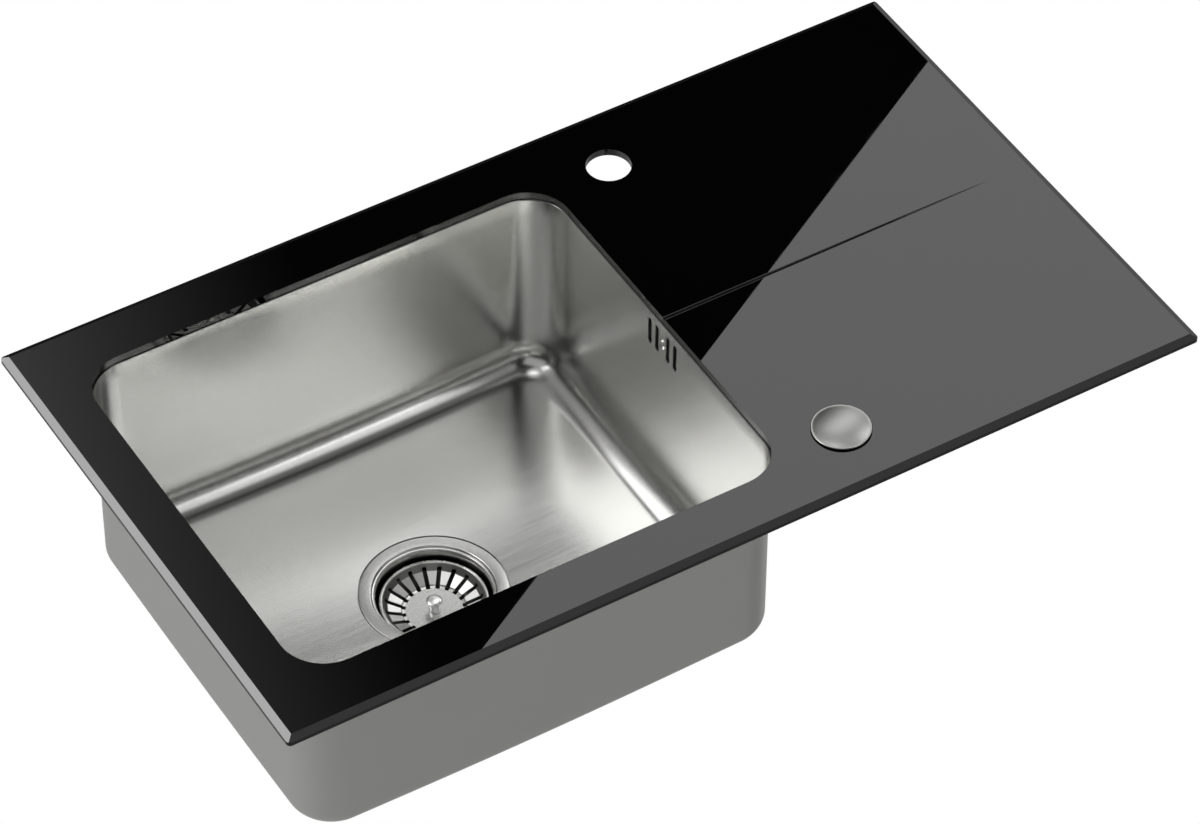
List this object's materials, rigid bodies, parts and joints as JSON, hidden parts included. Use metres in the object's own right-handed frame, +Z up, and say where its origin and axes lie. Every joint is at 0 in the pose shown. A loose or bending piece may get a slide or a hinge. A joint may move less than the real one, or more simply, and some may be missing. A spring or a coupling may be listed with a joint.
{
  "type": "kitchen sink",
  "caption": "Inset black glass kitchen sink with a pressed steel bowl, a drainer side, a tap hole, an overflow and a push control that lifts the basket strainer.",
  "frame": {"origin": "centre of the tap hole, in the plane of the underside of the glass", "axes": "+X to the right along the drainer, +Y to the wall behind the sink, +Z up out of the worktop"},
  "size_m": [0.765, 0.435, 0.294],
  "materials": {
    "black_glass": "polished, opaque",
    "bond_black": "matt",
    "foam_grey": "closed-cell foam",
    "bowl_steel": "fine satin",
    "polished_steel": "polished",
    "satin_metal": "satin",
    "fitting_steel": "plain",
    "brass": "machined",
    "black_rubber": "matt",
    "white_plastic": "moulded",
    "grey_plastic": "moulded",
    "hose_plastic": "moulded",
    "black_sheath": "smooth"
  },
  "bodies": {
    "sink": {"glass_top": "black_glass", "glass_bond": "bond_black", "rim_seal": "foam_grey", "bowl": "bowl_steel", "strainer_cup": "polished_steel", "flange_seal": "black_rubber", "body_gasket": "black_rubber", "waste_body": "white_plastic", "outlet_tail": "white_plastic", "clamp_screw": "fitting_steel", "shaft_seal": "black_rubber", "lower_ferrule": "fitting_steel", "cable_sheath": "black_sheath", "upper_ferrule": "fitting_steel", "control_spring": "fitting_steel", "control_sleeve": "grey_plastic", "control_seal": "black_rubber", "control_washer": "black_rubber", "control_nut": "white_plastic", "overflow_screw": "polished_steel", "overflow_gasket": "black_rubber", "overflow_housing": "white_plastic", "overflow_hose": "hose_plastic", "upper_hose_nut": "grey_plastic", "lower_hose_nut": "grey_plastic"},
    "control": {"control_cap": "satin_metal", "control_stem": "fitting_steel", "control_wire": "fitting_steel"},
    "pull_wire": {"pull_wire": "fitting_steel"},
    "lift_lever": {"lift_arm": "fitting_steel", "rocker_shaft": "fitting_steel", "crank_arm": "grey_plastic"},
    "lift_pin": {"lift_pin": "fitting_steel"},
    "strainer_basket": {"basket": "polished_steel", "basket_knob": "polished_steel", "stopper_seal": "black_rubber", "basket_nut": "brass"}
  },
  "joints": [
    {"name": "control_press", "type": "slide", "parent": "sink", "child": "control", "axis": [0, 0, 1], "range_m": [0, 0.007], "deforming": ["control_spring"]},
    {"name": "wire_pull", "type": "slide", "parent": "sink", "child": "pull_wire", "axis": [1, 0, 0], "range_m": [0, 0.007]},
    {"name": "lever_turn", "type": "hinge", "parent": "sink", "child": "lift_lever", "pos_m": [-0.22706, -0.2148, -0.24], "axis": [0, 1, 0], "range_deg": [0, 20]},
    {"name": "pin_lift", "type": "slide", "parent": "sink", "child": "lift_pin", "axis": [0, 0, 1], "range_m": [0, 0.008]},
    {"name": "basket_lift_out", "type": "slide", "parent": "lift_pin", "child": "strainer_basket", "axis": [0, 0, 1], "range_m": [0, 0.23]}
  ],
  "couplings": [
    {"joint": "wire_pull", "follows": "control_press", "ratio": 1},
    {"joint": "lever_turn", "follows": "control_press", "rad_per_m": 49.866},
    {"joint": "pin_lift", "follows": "control_press", "ratio": 1.1428}
  ]
}
